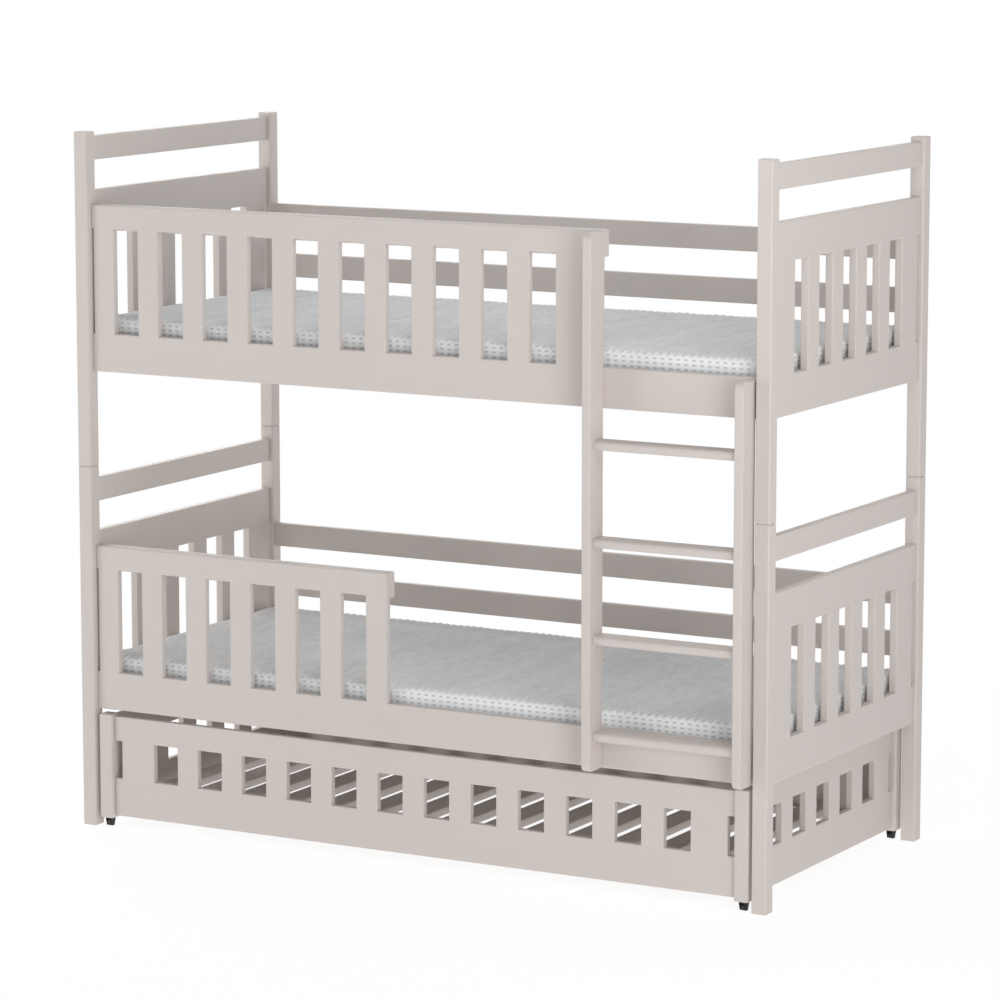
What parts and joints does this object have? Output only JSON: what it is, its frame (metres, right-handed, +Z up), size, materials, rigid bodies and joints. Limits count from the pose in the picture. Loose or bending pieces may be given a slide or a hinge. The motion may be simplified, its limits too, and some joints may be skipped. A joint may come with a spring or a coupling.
{
  "type": "bunk bed with trundle",
  "caption": "Wooden bunk bed with slotted guards and ends, a fixed front ladder, mattresses, and a slatted trundle on castors that rolls out from under the lower bunk.",
  "frame": {"origin": "on the floor, under the centre of the box round the whole bed with its ladder", "axes": "+X along the bed to the ladder end, +Y from the ladder side to the wall side, +Z up"},
  "size_m": [1.88, 0.9194, 1.72],
  "materials": {
    "lacquered_pine": "satin lacquer, light warm grey",
    "slat_lacquer": "planed pine under one thin coat of the same lacquer",
    "dowel_beech": "turned, bare",
    "mattress_cover": "knitted cover, pale grey top and white quilted side band",
    "castor_plastic": "moulded, black"
  },
  "bodies": {
    "bed": {"lower_post_front_left": "lacquered_pine", "upper_post_front_left": "lacquered_pine", "lower_post_front_right": "lacquered_pine", "upper_post_front_right": "lacquered_pine", "lower_post_rear_left": "lacquered_pine", "upper_post_rear_left": "lacquered_pine", "lower_post_rear_right": "lacquered_pine", "upper_post_rear_right": "lacquered_pine", "post_dowel_front_left": "dowel_beech", "post_dowel_front_right": "dowel_beech", "post_dowel_rear_left": "dowel_beech", "post_dowel_rear_right": "dowel_beech", "lower_front_board": "lacquered_pine", "lower_guard_batten": "lacquered_pine", "lower_end_panel_left": "lacquered_pine", "lower_end_rail_left": "lacquered_pine", "lower_end_panel_right": "lacquered_pine", "lower_end_rail_right": "lacquered_pine", "lower_rear_side_rail": "lacquered_pine", "lower_rear_guard_low": "lacquered_pine", "lower_rear_guard_high": "lacquered_pine", "lower_slat_base": "slat_lacquer", "lower_mattress": "mattress_cover", "upper_front_board": "lacquered_pine", "upper_guard_batten": "lacquered_pine", "upper_end_panel_left": "lacquered_pine", "upper_end_rail_left": "lacquered_pine", "upper_end_panel_right": "lacquered_pine", "upper_end_rail_right": "lacquered_pine", "upper_rear_side_rail": "lacquered_pine", "upper_rear_guard_low": "lacquered_pine", "upper_rear_guard_high": "lacquered_pine", "upper_slat_base": "slat_lacquer", "upper_mattress": "mattress_cover", "ladder_stringer_left": "lacquered_pine", "ladder_stringer_right": "lacquered_pine", "ladder_tread_1": "lacquered_pine", "ladder_tread_2": "lacquered_pine", "ladder_tread_3": "lacquered_pine", "ladder_tread_4": "lacquered_pine"},
    "trundle": {"trundle_post_front_left": "lacquered_pine", "trundle_post_front_right": "lacquered_pine", "trundle_post_rear_left": "lacquered_pine", "trundle_post_rear_right": "lacquered_pine", "castor_housing_front_left": "castor_plastic", "castor_housing_front_right": "castor_plastic", "castor_housing_rear_left": "castor_plastic", "castor_housing_rear_right": "castor_plastic", "trundle_front_panel": "lacquered_pine", "trundle_rear_panel": "lacquered_pine", "trundle_side_panel_left": "lacquered_pine", "trundle_side_panel_right": "lacquered_pine", "trundle_slat_base": "slat_lacquer"},
    "castor_front_left": {"castor_wheel_front_left": "castor_plastic"},
    "castor_front_right": {"castor_wheel_front_right": "castor_plastic"},
    "castor_rear_left": {"castor_wheel_rear_left": "castor_plastic"},
    "castor_rear_right": {"castor_wheel_rear_right": "castor_plastic"}
  },
  "joints": [
    {"name": "trundle_slide", "type": "slide", "parent": "bed", "child": "trundle", "axis": [0, -1, 0], "range_m": [0, 0.8]},
    {"name": "castor_spin_front_left", "type": "hinge", "parent": "trundle", "child": "castor_front_left", "pos_m": [-0.87375, -0.3876, 0.009], "axis": [1, 0, 0], "range_deg": [0, 5093]},
    {"name": "castor_spin_front_right", "type": "hinge", "parent": "trundle", "child": "castor_front_right", "pos_m": [0.87375, -0.3876, 0.009], "axis": [1, 0, 0], "range_deg": [0, 5093]},
    {"name": "castor_spin_rear_left", "type": "hinge", "parent": "trundle", "child": "castor_rear_left", "pos_m": [-0.87375, 0.4319, 0.009], "axis": [1, 0, 0], "range_deg": [0, 5093]},
    {"name": "castor_spin_rear_right", "type": "hinge", "parent": "trundle", "child": "castor_rear_right", "pos_m": [0.87375, 0.4319, 0.009], "axis": [1, 0, 0], "range_deg": [0, 5093]}
  ],
  "couplings": [
    {"joint": "castor_spin_front_left", "follows": "trundle_slide", "rad_per_m": 111.11},
    {"joint": "castor_spin_front_right", "follows": "trundle_slide", "rad_per_m": 111.11},
    {"joint": "castor_spin_rear_left", "follows": "trundle_slide", "rad_per_m": 111.11},
    {"joint": "castor_spin_rear_right", "follows": "trundle_slide", "rad_per_m": 111.11}
  ]
}
